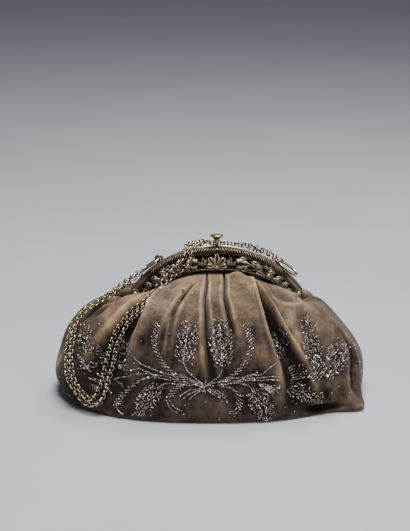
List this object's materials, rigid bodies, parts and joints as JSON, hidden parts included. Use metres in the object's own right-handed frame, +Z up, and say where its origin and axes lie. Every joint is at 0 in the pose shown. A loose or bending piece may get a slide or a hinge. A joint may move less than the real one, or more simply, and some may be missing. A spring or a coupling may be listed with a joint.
{
  "type": "handbag",
  "caption": "Gathered velvet pouch bag resting on a table, with a hinged frame of pierced metal, a push button on the rim and a double chain handle draped over the left side.",
  "frame": {"origin": "on the table, under the middle of the frame", "axes": "+X to the right seen from the front, +Y to the back, +Z up"},
  "size_m": [0.2533, 0.1402, 0.1327],
  "materials": {
    "velvet": "worn taupe velvet, paler on the upper folds",
    "gilt_metal": "aged gilt cast metal, dark in the recesses",
    "chain_metal": "aged gilt wire rings",
    "button_brass": "worn yellow brass"
  },
  "bodies": {
    "bag": {"velvet_bag": "velvet", "front_frame": "gilt_metal", "back_frame": "gilt_metal", "hinge_pin_left": "gilt_metal", "hinge_pin_right": "gilt_metal", "chain_loop_left": "chain_metal", "chain_loop_right": "chain_metal", "chain_strand_inner": "chain_metal", "chain_strand_outer": "chain_metal"},
    "button": {"push_button": "button_brass"}
  },
  "joints": [
    {"name": "button_press", "type": "slide", "parent": "bag", "child": "button", "axis": [0, -0.1392, -0.9903], "range_m": [0, 0.0015], "stiffness_N_per_m": 300, "springref_m": -0.001}
  ]
}
